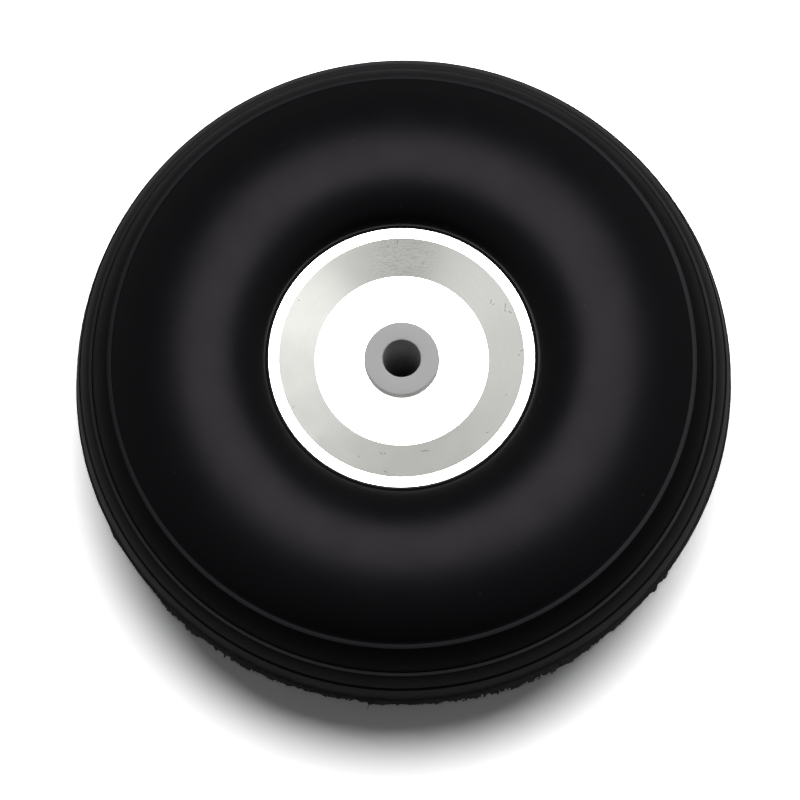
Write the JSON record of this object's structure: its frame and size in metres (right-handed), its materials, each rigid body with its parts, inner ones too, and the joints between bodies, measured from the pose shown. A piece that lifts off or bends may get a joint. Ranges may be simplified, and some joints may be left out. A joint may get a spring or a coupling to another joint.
{
  "type": "model aircraft wheel",
  "caption": "Model aircraft main wheel with a smooth grooved black tyre on a dished turned aluminium hub and a plain bushed axle bore.",
  "frame": {"origin": "the wheel's centre: on the axle's axis, midway between the two sidewall crests", "axes": "+Z along the axle's axis to the outboard face; X and Y lie in the wheel's mid-plane, +X through the first hub screw. The wheel lies on its inboard sidewall, with its axle's axis upright"},
  "size_m": [0.0892, 0.0892, 0.031],
  "materials": {
    "tyre": "moulded satin black foamed polyurethane rubber",
    "hub": "turned bright aluminium with fine concentric tool marks",
    "bush": "moulded matt grey nylon",
    "screw": "plain stainless socket head screw"
  },
  "bodies": {
    "root": {"tyre": "tyre", "hub_outer": "hub", "hub_inner": "hub", "bush_outer": "bush", "bush_inner": "bush", "hub_screw_1": "screw", "hub_screw_2": "screw", "hub_screw_3": "screw", "hub_screw_4": "screw", "hub_screw_5": "screw", "hub_screw_6": "screw"}
  },
  "joints": []
}
